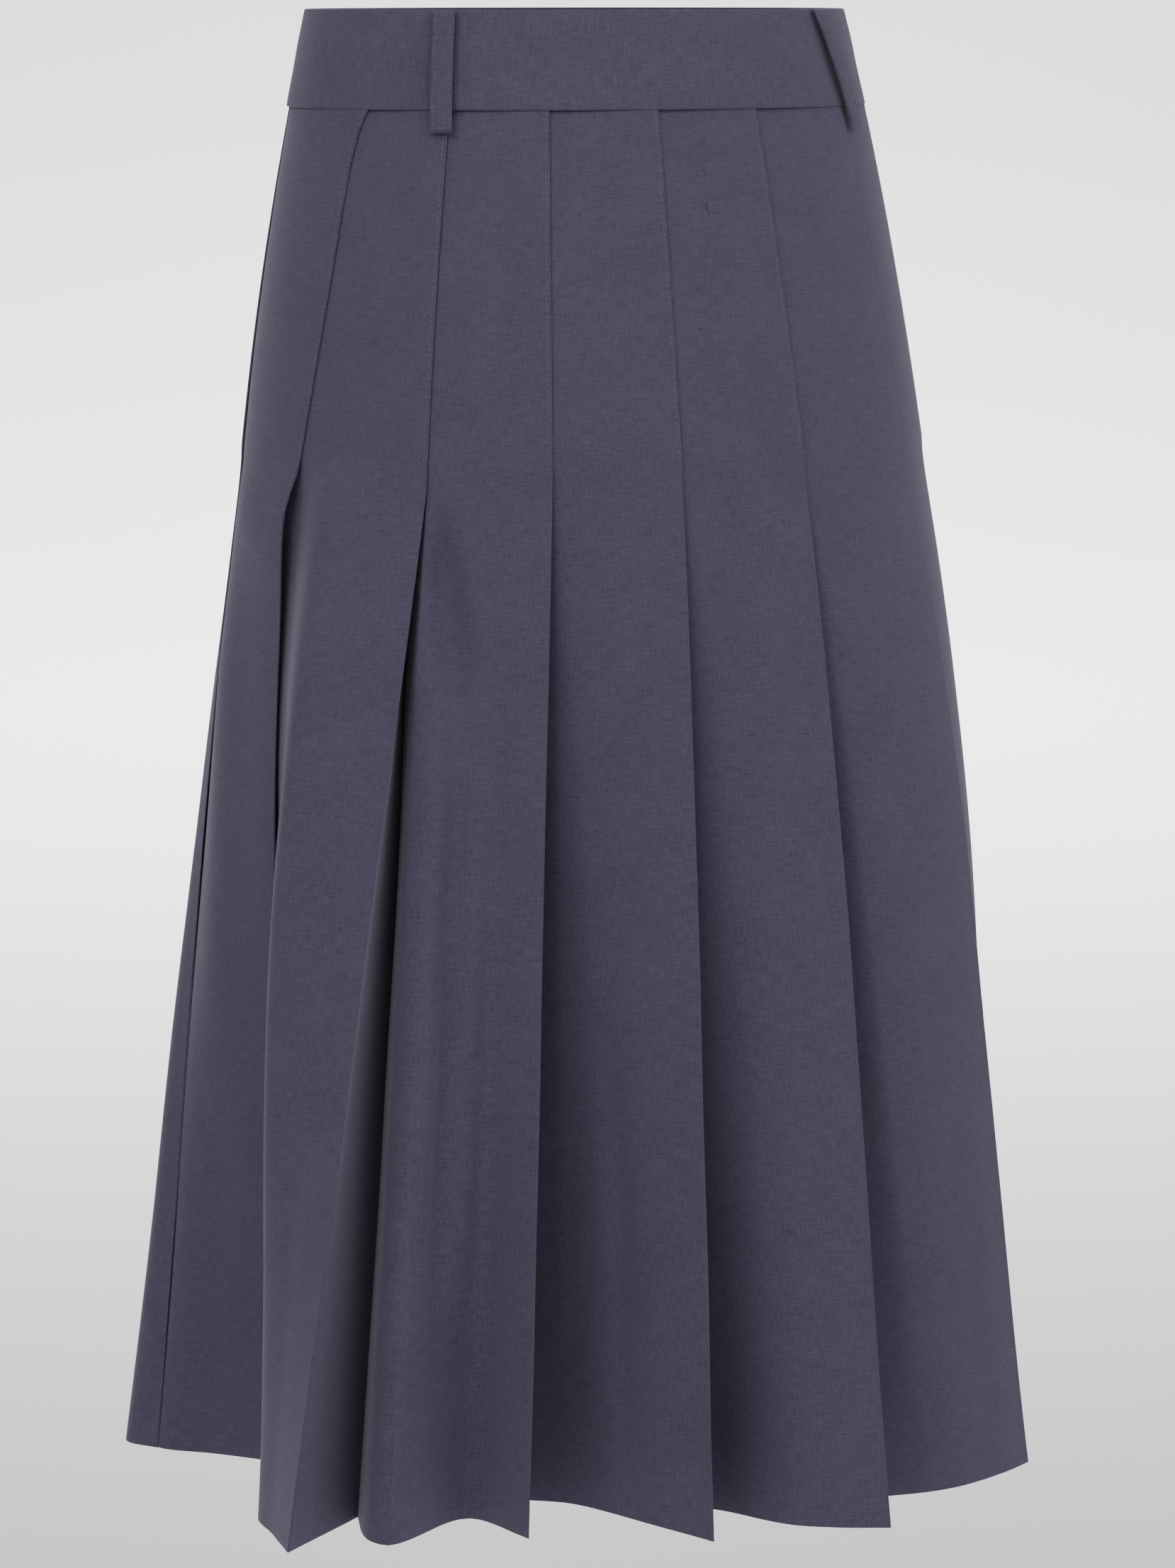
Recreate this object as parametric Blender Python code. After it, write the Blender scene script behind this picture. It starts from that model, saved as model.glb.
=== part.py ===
"""A midi-length skirt of fourteen knife pleats on a plain waistband with five belt loops, worn but empty.

The skirt hangs as on a wearer who isn't there. The origin is the centre of the waist opening, in the plane of the
waistband's top edge. +Z is up and the centre front faces -Y. Left and right are as seen from the front. Angles run
round the waist from the centre front, 0, towards +X, so the centre back is at 180 degrees. A drop is a distance
down from the top edge. Everything is in metres and degrees.
"""
import math
from collections import namedtuple

import bmesh
import bpy
from mathutils import Vector

# Driving sizes
LENGTH = 0.730
BAND_DEPTH = 0.0493
STITCH_END = 0.213
WALL = 0.0011
BAND_WALL = 0.0024
LAYER_PITCH = 0.0015
SEAM_GAP = 0.0003

# Half sizes of the oval that the outermost cloth follows: at the top edge, the high hip and the end of the stitching
HIGH_HIP = 0.100
WAIST_OVAL = Vector((0.1369, 0.0985))
HIGH_HIP_OVAL = Vector((0.1576, 0.1173))
HIP_OVAL = Vector((0.1750, 0.1345))
HEM_OVAL = Vector((0.2500, 0.1860))
# The hips sit a little to one side of the waist
HIP_SWAY = Vector((0.0040, -0.0016))

# Each pleat's hidden part reaches back over a share of the space to the pleat before it, up to a widest angle
TUCK_SHARE = 0.60
WIDEST_TUCK = 18.0
FOLD_ROUND = 0.0004

# Where the cloth is drawn: drops of its sections, and steps along each stretch of one pleat
DROPS = (0.0496, 0.105, 0.160, 0.213, 0.230, 0.255, 0.290, 0.335, 0.430, 0.530, 0.630, 0.730)
RETURN_STEPS = 3
UNDERLAY_STEPS = 3
FACE_STEPS = 7

# One row for each pleat. Its stitched line runs from the angle "seam" at the waistband to "hip" where the stitching
# ends, and its released edge goes on to the angle "hem", at "reach" times the hem oval. There the cloth returns
# inwards by "depth", leaning back under its own panel by "lean" degrees, to the pleat's inner fold. The panel that
# follows runs from that inner fold to the next pleat's edge. It passes its knee, which was under this pleat's
# edge, then a ridge and a dip: each has a share of the way and a height outside the straight line, in millimetres.
# Pleats open evenly from the end of their stitching to the hem where "swing" and "bloom" are 1. Below 1 "swing" swings
# the back inwards early and "bloom" swells the panel early. A sixth of the way down to the hem the underlay hangs
# further in than its ends do by "sag", and a third of the way down the edge stands further out than straight between
# its ends by "swell", in millimetres.
Pleat = namedtuple("Pleat", "seam hip hem reach depth lean knee_at knee ridge_at ridge dip_at dip swing bloom sag swell")
PLEATS = (
    Pleat(-61.4, -71.0, -98.7, 0.607, 0.045, -49, 0.27, 15, 0.56, 30, 0.79, 15, 2.0, 0.30, 2.5, 15.0),
    Pleat(-42.0, -43.5, -49.7, 1.048, 0.065, -9, 0.22, 31, 0.38, 35, 0.55, -19, 0.30, 1.3, 0, 1.0),
    Pleat(-22.0, -22.5, -23.0, 0.870, 0.066, 1, 0.18, -10, 0.33, -11, 0.68, -5, 0.40, 1.3, 0, 2.0),
    Pleat(-1.0, -1.5, -0.9, 1.006, 0.060, -9, 0.18, 0, 0.54, 11, 0.78, 8, 0.45, 1.0, 0, 4.0),
    Pleat(20.4, 21.2, 17.7, 1.117, 0.051, -26, 0.29, 10, 0.50, 12, 0.79, 7, 0.45, 1.0, 0, 6.0),
    Pleat(48.6, 51.5, 50.6, 1.025, 0.052, 5, 0.31, 14, 0.62, 14, 0.86, 7, 0.5, 1.0, 0, 8.0),
    Pleat(73.0, 76.5, 80.0, 0.926, 0.047, 8, 0.32, 7, 0.55, 9, 0.82, 3, 0.5, 1.0, 0, 8.5),
    Pleat(100.0, 102.5, 104.0, 0.960, 0.051, 3, 0.30, 3, 0.50, -6, 0.78, -3, 0.5, 1.0, 0, 8.0),
    Pleat(126.0, 128.0, 128.5, 1.030, 0.055, -4, 0.28, 11, 0.55, 14, 0.80, 6, 0.5, 1.0, 0, 7.0),
    Pleat(153.0, 154.0, 153.0, 0.965, 0.058, 2, 0.25, -6, 0.42, -9, 0.74, -2, 0.5, 1.0, 0, 6.0),
    Pleat(179.0, 179.5, 178.0, 1.030, 0.056, -6, 0.26, 8, 0.52, 13, 0.80, 7, 0.5, 1.0, 0, 5.0),
    Pleat(203.5, 204.5, 204.0, 0.940, 0.055, 4, 0.27, 3, 0.50, -5, 0.76, -4, 0.5, 1.0, 0, 5.0),
    Pleat(227.0, 229.0, 226.0, 1.020, 0.050, 10, 0.45, 14, 0.88, 27, 1.04, 18, 0.8, 1.0, 0, 4.0),
    Pleat(250.0, 254.2, 245.2, 0.899, 0.022, 96, 0.205, 13.5, 0.52, 9, 0.77, 4, 1.0, 1.0, 1.5, 3.5),
)
TURN = 360.0
FRONT_PLEATS = range(1, 8)
BACK_PLEATS = range(8, 15)

# Greatest values of x(1 - x)^2 and x(1 - x)^5, a third and a sixth of the way from the stitching to the hem
EARLY_PEAK = 4 / 27
EARLIEST_PEAK = 5 ** 5 / 6 ** 6

# Belt loops: angles of the top and bottom ends, and the strap's sizes
BeltLoop = namedtuple("BeltLoop", "place top bottom")
BELT_LOOPS = (
    BeltLoop("front_left", -44.0, -43.0),
    BeltLoop("front_right", 44.5, 51.0),
    BeltLoop("back_right", 127.0, 129.0),
    BeltLoop("back_centre", 179.0, 179.2),
    BeltLoop("back_left", 227.0, 228.0),
)
LOOP_WIDTH = 0.0105
LOOP_THICKNESS = 0.0016
LOOP_LENGTH = 0.0598
LOOP_RISE = 0.0032
LOOP_SEAT = 0.0004
LOOP_SHOULDER = 0.35
LOOP_STEPS = 12

CLOTH_COLOUR = (0.064, 0.056, 0.095, 1.0)
BAND_SEGMENTS = 84
SHARP_ANGLE = math.radians(38)


# Plan geometry

def oval_at(drop):
    """Half sizes of the outermost cloth at a drop within the stitched part: one curve through the three ovals."""
    low, high = HIGH_HIP, STITCH_END
    at_top = (drop - low) * (drop - high) / (low * high)
    at_high_hip = drop * (drop - high) / (low * (low - high))
    at_hip = drop * (drop - low) / (high * (high - low))
    return WAIST_OVAL * at_top + HIGH_HIP_OVAL * at_high_hip + HIP_OVAL * at_hip


def sway_at(drop):
    return HIP_SWAY * (drop / STITCH_END)


def on_oval(angle, oval, inset=0.0):
    turned = math.radians(angle)
    return Vector(((oval.x - inset) * math.sin(turned), -(oval.y - inset) * math.cos(turned)))


def outward(angle, oval):
    turned = math.radians(angle)
    return Vector((math.sin(turned) / oval.x, -math.cos(turned) / oval.y)).normalized()


def onward(angle, oval):
    turned = math.radians(angle)
    return Vector((oval.x * math.cos(turned), oval.y * math.sin(turned))).normalized()


def right_of(direction):
    """Square to a direction of travel round the skirt, pointing out of it."""
    return Vector((direction.y, -direction.x))


def between(start, end, steps):
    """Points between two ends, without the ends."""
    return [start.lerp(end, step / steps) for step in range(1, steps)]


def smooth_curve(points, samples=12):
    """A smooth curve through a few points, as many short steps, with the step at which it passes each point."""
    padded = [points[0] * 2 - points[1]] + list(points) + [points[-1] * 2 - points[-2]]
    curve = [points[0].copy()]
    passes = [0]
    for before, start, end, after in zip(padded, padded[1:], padded[2:], padded[3:]):
        span = (end - start).length
        into = (end - before) * span / ((start - before).length + span)
        out = (after - start) * span / ((after - end).length + span)
        for sample in range(1, samples + 1):
            t = sample / samples
            curve.append(
                start * (2 * t ** 3 - 3 * t ** 2 + 1) + into * (t ** 3 - 2 * t ** 2 + t)
                + end * (3 * t ** 2 - 2 * t ** 3) + out * (t ** 3 - t ** 2)
            )
        passes.append(len(curve) - 1)
    return curve, passes


def even_points(curve, steps):
    """The inner points that divide a curve into equal lengths."""
    lengths = [0.0]
    for start, end in zip(curve, curve[1:]):
        lengths.append(lengths[-1] + (end - start).length)
    points = []
    piece = 0
    for step in range(1, steps):
        wanted = lengths[-1] * step / steps
        while lengths[piece + 1] < wanted:
            piece += 1
        share = (wanted - lengths[piece]) / (lengths[piece + 1] - lengths[piece])
        points.append(curve[piece].lerp(curve[piece + 1], share))
    return points


def rounded_fold(peak, before, after):
    """Three points for a fold: the end of the cloth that arrives, the fold's peak and the start of what leaves."""
    arriving = (before - peak).normalized()
    leaving = (after - peak).normalized()
    inwards = (arriving + leaving).normalized()
    side = Vector((-inwards.y, inwards.x))
    if side.dot(arriving - leaving) < 0:
        side = -side
    shoulder = peak + inwards * FOLD_ROUND
    return [shoulder + side * (LAYER_PITCH / 2), peak, shoulder - side * (LAYER_PITCH / 2)]


def chord_form(points, start, end):
    """How a line bows: for each point, its share of the straight way between two ends and its height outside it."""
    way = end - start
    out = right_of(way.normalized())
    return [((point - start).dot(way) / way.length_squared, (point - start).dot(out)) for point in points]


def along_chord(form, start, end):
    out = right_of((end - start).normalized())
    return [start.lerp(end, share) + out * height for share, height in form]


def blended_form(first, second, share):
    return [(a + (b - a) * share, c + (d - c) * share) for (a, c), (b, d) in zip(first, second)]


# A pleat has an edge, where the cloth folds back, and an inner fold, where it turns forward again under the edge.
# The cloth between the edge and the inner fold is its back. The panel that follows is its underlay, as far as the
# knee that lies under the edge while the pleat is shut, and then its face, which shows.

def row(index):
    return PLEATS[index % len(PLEATS)]


def line_angle(index, drop):
    """Angle of a pleat's edge at a drop within the stitched part. Rows past the end of the table go round again."""
    share = (drop - BAND_DEPTH) / (STITCH_END - BAND_DEPTH)
    return row(index).seam + (row(index).hip - row(index).seam) * share + TURN * (index // len(PLEATS))


def pressed_layer(index, angle, level, drop):
    """A point of the cloth that leads to a pleat's edge: it rises by two layers from the edge before to this one."""
    edge, before = line_angle(index, drop), line_angle(index - 1, drop)
    lift = 2 * (edge - angle) / (edge - before)
    return on_oval(angle, oval_at(drop), (level + lift) * LAYER_PITCH) + sway_at(drop)


def pressed_edge(index, drop):
    return pressed_layer(index, line_angle(index, drop), 0.5, drop)


def tuck_angle(index, drop):
    edge, before = line_angle(index, drop), line_angle(index - 1, drop)
    return edge - min((edge - before) * TUCK_SHARE, WIDEST_TUCK)


def pressed_inner(index, drop):
    return pressed_layer(index, tuck_angle(index, drop), 1.5, drop)


def pressed_back(index, drop):
    edge, deep = line_angle(index, drop), tuck_angle(index, drop)
    return [
        pressed_layer(index, edge + (deep - edge) * step / RETURN_STEPS, 1, drop)
        for step in range(1, RETURN_STEPS)
    ]


def pressed_knee(index, drop):
    return pressed_layer(index, line_angle(index, drop), 2, drop)


def pressed_underlay(index, drop):
    edge, deep = line_angle(index, drop), tuck_angle(index, drop)
    return [
        pressed_layer(index, deep + (edge - deep) * step / UNDERLAY_STEPS, 2, drop)
        for step in range(1, UNDERLAY_STEPS)
    ]


def pressed_face(index, drop):
    edge, following = line_angle(index, drop), line_angle(index + 1, drop)
    return [
        pressed_layer(index + 1, edge + (following - edge) * step / FACE_STEPS, 0, drop)
        for step in range(1, FACE_STEPS)
    ]


def swung_back(edge, angle, oval, lean, depth):
    """The inner fold of a pleat whose back leans by an angle from straight inwards, under its own panel."""
    lean = math.radians(lean)
    return edge - (outward(angle, oval) * math.cos(lean) + onward(angle, oval) * math.sin(lean)) * depth


def hem_edge(index):
    return on_oval(row(index).hem, HEM_OVAL * row(index).reach)


def hem_inner(index):
    return swung_back(hem_edge(index), row(index).hem, HEM_OVAL, row(index).lean, row(index).depth)


def hem_panel(index):
    """The panel from a pleat's inner fold to the next edge at the hem: its underlay, its knee and its face."""
    pleat = row(index)
    stations = (
        (pleat.knee_at, pleat.knee / 1000),
        (pleat.ridge_at, pleat.ridge / 1000),
        (pleat.dip_at, pleat.dip / 1000),
    )
    start, end = hem_inner(index), hem_edge(index + 1)
    curve, passes = smooth_curve([start] + along_chord(stations, start, end) + [end])
    knee = passes[1]
    return even_points(curve[:knee + 1], UNDERLAY_STEPS), curve[knee], even_points(curve[knee:], FACE_STEPS)


def opened_at(drop):
    """How far down the released part a drop is, from 0 at the end of the stitching to 1 at the hem."""
    return (drop - STITCH_END) / (LENGTH - STITCH_END)


def swung_at(index, drop):
    return opened_at(drop) ** row(index).swing


def swelled_at(index, drop):
    return opened_at(drop) ** row(index).bloom


def edge_at(index, drop):
    if drop <= STITCH_END:
        return pressed_edge(index, drop)
    opened = opened_at(drop)
    swell = outward(line_angle(index, STITCH_END), HIP_OVAL) * (row(index).swell / 1000)
    early = opened * (1 - opened) ** 2 / EARLY_PEAK
    return pressed_edge(index, STITCH_END).lerp(hem_edge(index), opened) + swell * early


def inner_at(index, drop):
    """A pleat's inner fold: below the stitching, its back swings from pressed flat to its lean at the hem."""
    if drop <= STITCH_END:
        return pressed_inner(index, drop)
    opened, swung = opened_at(drop), swung_at(index, drop)
    edge, inner = pressed_edge(index, STITCH_END), pressed_inner(index, STITCH_END)
    hip, hem = line_angle(index, STITCH_END), row(index).hem + TURN * (index // len(PLEATS))
    back = edge - inner
    shut = math.degrees(math.atan2(back.dot(onward(hip, HIP_OVAL)), back.dot(outward(hip, HIP_OVAL))))
    return swung_back(
        edge_at(index, drop),
        hip + (hem - hip) * opened,
        HIP_OVAL.lerp(HEM_OVAL, opened),
        shut + (row(index).lean - shut) * swung,
        back.length + (row(index).depth - back.length) * opened,
    )


def sagged(point, index, drop):
    opened = opened_at(drop)
    earliest = opened * (1 - opened) ** 5 / EARLIEST_PEAK
    return point - point.normalized() * (row(index).sag / 1000 * earliest)


def knee_at(index, drop):
    """The knee draws away from the edge that it lay under."""
    if drop <= STITCH_END:
        return pressed_knee(index, drop)
    shut = pressed_knee(index, STITCH_END) - pressed_edge(index, STITCH_END)
    wide = hem_panel(index)[1] - hem_edge(index)
    return sagged(edge_at(index, drop) + shut.lerp(wide, opened_at(drop)), index, drop)


def released(shut, wide, ends_shut, ends_wide, ends, share):
    """A stretch of cloth between two ends, which bows less as when it is pressed and more as at the hem."""
    form = blended_form(chord_form(shut, *ends_shut), chord_form(wide, *ends_wide), share)
    return along_chord(form, *ends)


def back_at(index, drop):
    if drop <= STITCH_END:
        return pressed_back(index, drop)
    edge, inner = pressed_edge(index, STITCH_END), pressed_inner(index, STITCH_END)
    ends_wide = hem_edge(index), hem_inner(index)
    straight = between(*ends_wide, RETURN_STEPS)
    ends = edge_at(index, drop), inner_at(index, drop)
    shut = pressed_back(index, STITCH_END)
    return released(shut, straight, (edge, inner), ends_wide, ends, opened_at(drop))


def underlay_at(index, drop):
    if drop <= STITCH_END:
        return pressed_underlay(index, drop)
    underlay, knee, face = hem_panel(index)
    ends_shut = pressed_inner(index, STITCH_END), pressed_knee(index, STITCH_END)
    ends = inner_at(index, drop), knee_at(index, drop)
    shut = pressed_underlay(index, STITCH_END)
    line = released(shut, underlay, ends_shut, (hem_inner(index), knee), ends, opened_at(drop))
    return [sagged(point, index, drop) for point in line]


def face_at(index, drop):
    if drop <= STITCH_END:
        return pressed_face(index, drop)
    underlay, knee, face = hem_panel(index)
    ends_shut = pressed_knee(index, STITCH_END), pressed_edge(index + 1, STITCH_END)
    ends = knee_at(index, drop), edge_at(index + 1, drop)
    shut = pressed_face(index, STITCH_END)
    return released(shut, face, ends_shut, (knee, hem_edge(index + 1)), ends, swelled_at(index, drop))


def panel_at(index, drop):
    return underlay_at(index, drop) + [knee_at(index, drop)] + face_at(index, drop)


def cloth_line(pleats, drop):
    """The middle of the cloth in plan, from the inner fold before the first pleat to that of the last one."""
    first, last = pleats[0] - 1, pleats[-1]
    panel = panel_at(first, drop)
    fold = rounded_fold(inner_at(first, drop), back_at(first, drop)[-1], panel[0])
    points = [fold[-1]] + panel
    for index in pleats:
        back = back_at(index, drop)
        points += rounded_fold(edge_at(index, drop), points[-1], back[0]) + back
        panel = panel_at(index, drop)
        fold = rounded_fold(inner_at(index, drop), back[-1], panel[0])
        if index == last:
            points.append(fold[0])
        else:
            points += fold + panel
    return points


def two_faces(points, thickness):
    """Offset a line to both sides by half a thickness, mitred at its corners."""
    directions = [(end - start).normalized() for start, end in zip(points, points[1:])]
    arriving = [directions[0]] + directions
    leaving = directions + [directions[-1]]
    outer, inner = [], []
    for point, into, away in zip(points, arriving, leaving):
        normals = right_of(into) + right_of(away)
        mitre = normals / (1 + right_of(into).dot(right_of(away)))
        outer.append(point + mitre * (thickness / 2))
        inner.append(point - mitre * (thickness / 2))
    return outer, inner


# Solids

def finish(name, work, collection, material):
    """Turn a bmesh into a named object with its own material, shaded smooth between its sharp edges."""
    bmesh.ops.recalc_face_normals(work, faces=work.faces)
    bmesh.ops.triangulate(work, faces=work.faces)
    mesh = bpy.data.meshes.new(name)
    work.to_mesh(mesh)
    work.free()
    mesh.materials.append(material)
    mesh.shade_smooth()
    mesh.set_sharp_from_angle(angle=SHARP_ANGLE)
    piece = bpy.data.objects.new(name, mesh)
    collection.objects.link(piece)
    return piece


def loft(sections, ring=False):
    """A solid through sections of equally many points. Each section is a closed outline; a ring joins its ends."""
    work = bmesh.new()
    loops = [[work.verts.new(point) for point in section] for section in sections]
    joined = list(zip(loops, loops[1:]))
    if ring:
        joined.append((loops[-1], loops[0]))
    count = len(loops[0])
    for upper, lower in joined:
        for place in range(count):
            following = (place + 1) % count
            work.faces.new((upper[place], lower[place], lower[following], upper[following]))
    if not ring:
        for cap in (loops[0], loops[-1]):
            for place in range(count // 2 - 1):
                work.faces.new((cap[place], cap[place + 1], cap[-2 - place], cap[-1 - place]))
    return work


def pleated_cloth(name, pleats, collection, material):
    sections = []
    for drop in DROPS:
        outer, inner = two_faces(cloth_line(pleats, drop), WALL)
        outline = outer + inner[::-1]
        sections.append([point.to_3d() - Vector((0, 0, drop)) for point in outline])
    return finish(name, loft(sections), collection, material)


def waistband(collection, material):
    """A plain band: the same four-cornered section all the way round."""
    sections = []
    proud = WALL / 2 + SEAM_GAP
    drops = (0.0, BAND_DEPTH / 2, BAND_DEPTH)
    for segment in range(BAND_SEGMENTS):
        angle = TURN * segment / BAND_SEGMENTS
        outside = [(drop, -proud) for drop in drops]
        inside = [(drop, BAND_WALL - proud) for drop in reversed(drops)]
        section = []
        for drop, inset in outside + inside:
            place = on_oval(angle, oval_at(drop), inset) + sway_at(drop)
            section.append(place.to_3d() - Vector((0, 0, drop)))
        sections.append(section)
    return finish("waistband", loft(sections, ring=True), collection, material)


def belt_loop(loop, collection, material):
    """A strap that is sewn down at both ends and stands off the waistband between them."""
    sections = []
    seat = WALL / 2 + SEAM_GAP + LOOP_SEAT
    for step in range(LOOP_STEPS + 1):
        share = step / LOOP_STEPS
        drop = LOOP_LENGTH * share
        angle = loop.top + (loop.bottom - loop.top) * share
        oval = oval_at(drop)
        rise = LOOP_RISE * math.sin(math.pi * share) ** LOOP_SHOULDER if 0 < share < 1 else 0.0
        out = outward(angle, oval)
        side = right_of(out) * (LOOP_WIDTH / 2)
        near = on_oval(angle, oval) + sway_at(drop) + out * (seat + rise)
        far = near + out * LOOP_THICKNESS
        corners = (near - side, far - side, far + side, near + side)
        sections.append([corner.to_3d() - Vector((0, 0, drop)) for corner in corners])
    return finish("belt_loop_" + loop.place, loft(sections), collection, material)


def cloth_material(name):
    material = bpy.data.materials.new(name)
    material.use_nodes = True
    surface = material.node_tree.nodes["Principled BSDF"]
    surface.inputs["Base Color"].default_value = CLOTH_COLOUR
    surface.inputs["Roughness"].default_value = 0.85
    surface.inputs["Metallic"].default_value = 0.0
    return material


def main():
    for old in list(bpy.data.objects):
        bpy.data.objects.remove(old, do_unlink=True)
    skirt = bpy.data.collections.new("pleated_skirt")
    bpy.context.scene.collection.children.link(skirt)
    waistband(skirt, cloth_material("band_cloth"))
    pleated_cloth("pleated_front", FRONT_PLEATS, skirt, cloth_material("front_cloth"))
    pleated_cloth("pleated_back", BACK_PLEATS, skirt, cloth_material("back_cloth"))
    for loop in BELT_LOOPS:
        belt_loop(loop, skirt, cloth_material("loop_cloth_" + loop.place))


main()
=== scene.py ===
"""The look of the pleated midi skirt: its cloth, waistband, belt loops and stitching, in soft studio light.

The axes are those of the solids: the origin is the centre of the waist opening, +Z is up and the centre
front faces -Y. Angles run round the waist from the centre front towards +X. A drop is a distance down from
the waistband's top edge. Everything is in metres and degrees, unless a name or a table says millimetres.
"""
import math
from collections import namedtuple

import bpy
import numpy as np
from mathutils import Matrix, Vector, noise


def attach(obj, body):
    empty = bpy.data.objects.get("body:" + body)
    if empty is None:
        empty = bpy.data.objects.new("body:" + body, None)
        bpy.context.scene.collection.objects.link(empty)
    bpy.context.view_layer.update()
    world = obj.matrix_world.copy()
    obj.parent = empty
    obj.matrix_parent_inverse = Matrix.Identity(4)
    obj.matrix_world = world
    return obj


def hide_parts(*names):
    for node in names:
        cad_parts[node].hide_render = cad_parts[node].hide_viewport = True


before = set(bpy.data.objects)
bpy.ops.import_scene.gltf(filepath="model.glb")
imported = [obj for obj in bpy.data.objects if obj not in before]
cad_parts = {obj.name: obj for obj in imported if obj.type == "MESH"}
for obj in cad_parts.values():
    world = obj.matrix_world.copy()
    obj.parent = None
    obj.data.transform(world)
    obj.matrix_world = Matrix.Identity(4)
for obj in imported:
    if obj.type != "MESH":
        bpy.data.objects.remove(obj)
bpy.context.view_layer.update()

# Sizes of the pattern, as in the solids
LENGTH = 0.730
STITCH_END = 0.213
HIGH_HIP = 0.100
WAIST_OVAL = Vector((0.1369, 0.0985))
HIGH_HIP_OVAL = Vector((0.1576, 0.1173))
HIP_OVAL = Vector((0.1750, 0.1345))
HEM_OVAL = Vector((0.2500, 0.1860))
HIP_SWAY = Vector((0.0040, -0.0016))
TUCK_SHARE = 0.60
WIDEST_TUCK = 18.0
TURN = 360.0

# The real cloth is thinner than its solid, and its pressed layers lie closer
CLOTH_THICKNESS = 0.0005
LAYER_PITCH = 0.0008
# Levels of a pleat's layers, counted inwards, with its two folds between them
FACE_LEVEL = 0
EDGE_LEVEL = 0.5
BACK_LEVEL = 1
INNER_LEVEL = 1.5
UNDERLAY_LEVEL = 2

# The waistband's lower seam is 2 mm higher than on its solid, as it looks on the garment
BAND_DEPTH = 0.0472
BAND_WALL = 0.0024
BAND_PROUD = 0.00085
BAND_ROUND = 0.0009
BAND_SEGMENTS = 300
BAND_STEPS = 8
BAND_CORNER_STEPS = 4

# One row for each pleat. Its stitched line runs from the angle "seam" at the waistband to "hip" where the
# stitching ends, and its released edge goes on to the angle "hem", at "reach" times the hem oval. There the
# cloth returns inwards by "depth", leaning back under its own panel by "lean" degrees, to the pleat's inner
# fold. The panel that follows runs from that inner fold to the next pleat's edge. It passes its knee, which
# was under this pleat's edge, then a ridge and a dip: each has a share of the way and a height outside the
# straight line, in millimetres. Below 1 "swing" swings the back inwards early, and "bloom" swells the panel
# early. Just below the stitching the underlay hangs in by "sag", and a third of the way down to the hem the
# edge stands out by "swell", in millimetres. There the panel also bows more than at the hem by a share,
# "puff". Just below the stitching the edge springs out by "spring" millimetres. Just below the waistband
# the stitched line turns aside by "hook" degrees.
Pleat = namedtuple(
    "Pleat",
    "seam hip hem reach depth lean knee_at knee ridge_at ridge dip_at dip swing bloom sag swell "
    "puff spring hook",
    defaults=(0.0, 0.0, 0.0),
)
PLEATS = (
    Pleat(
        -61.4, -71.0, -98.7, 0.607, 0.045, -49, 0.27, 15, 0.56, 30, 0.79, 15, 2.0, 0.10, 2.5, 15.0,
        puff=0.37, spring=7.5, hook=1.7,
    ),
    Pleat(-42.0, -43.5, -49.7, 1.048, 0.065, -9, 0.22, 31, 0.38, 35, 0.55, -19, 0.18, 1.3, 0, 1.0),
    Pleat(-22.0, -22.5, -23.0, 0.870, 0.066, 1, 0.18, -10, 0.33, -11, 0.68, -5, 0.40, 1.3, 0, 2.0),
    Pleat(-1.0, -1.5, -0.9, 1.006, 0.060, -9, 0.18, 0, 0.54, 11, 0.78, 8, 0.45, 1.0, 0, 4.0),
    Pleat(20.4, 21.2, 17.7, 1.117, 0.051, -26, 0.29, 10, 0.50, 12, 0.79, 7, 0.45, 1.0, 0, 6.0),
    Pleat(48.6, 51.5, 50.6, 1.025, 0.052, 5, 0.31, 14, 0.62, 14, 0.86, 7, 0.5, 1.0, 0, 8.0),
    Pleat(73.0, 76.5, 80.0, 0.926, 0.047, 8, 0.32, 7, 0.55, 9, 0.82, 3, 0.5, 1.0, 0, 8.5),
    Pleat(100.0, 102.5, 104.0, 0.960, 0.051, 3, 0.30, 3, 0.50, -6, 0.78, -3, 0.5, 1.0, 0, 8.0),
    Pleat(126.0, 128.0, 128.5, 1.030, 0.055, -4, 0.28, 11, 0.55, 14, 0.80, 6, 0.5, 1.0, 0, 7.0),
    Pleat(153.0, 154.0, 153.0, 0.965, 0.058, 2, 0.25, -6, 0.42, -9, 0.74, -2, 0.5, 1.0, 0, 6.0),
    Pleat(179.0, 179.5, 178.0, 1.030, 0.056, -6, 0.26, 8, 0.52, 13, 0.80, 7, 0.5, 1.0, 0, 5.0),
    Pleat(203.5, 204.5, 204.0, 0.940, 0.055, 4, 0.27, 3, 0.50, -5, 0.76, -4, 0.5, 1.0, 0, 5.0),
    Pleat(227.0, 229.0, 226.0, 1.020, 0.050, 10, 0.45, 14, 0.88, 27, 1.04, 18, 0.8, 1.0, 0, 4.0),
    Pleat(250.0, 254.2, 245.2, 0.899, 0.022, 100, 0.160, 17.3, 0.52, 9, 0.77, 4, 1.0, 1.0, 0, 3.5),
)
FRONT_PLEATS = range(1, 8)
BACK_PLEATS = range(8, 15)

# The pleats open gently below the stitching: first at each pleat's own edge and later towards the next one
SOFT_START = 0.02
NEXT_EDGE_DELAY = 0.05
# Where the spring is greatest, as a share of the way to the hem, and the hook, as a share of the stitching
SPRING_AT = 0.04
HOOK_AT = 0.16
# Greatest values of x(1 - x)^2 and x(1 - x)^5, a third and a sixth of the way from the stitching to the hem
EARLY_PEAK = 4 / 27
EARLIEST_PEAK = 5 ** 5 / 6 ** 6

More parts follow.
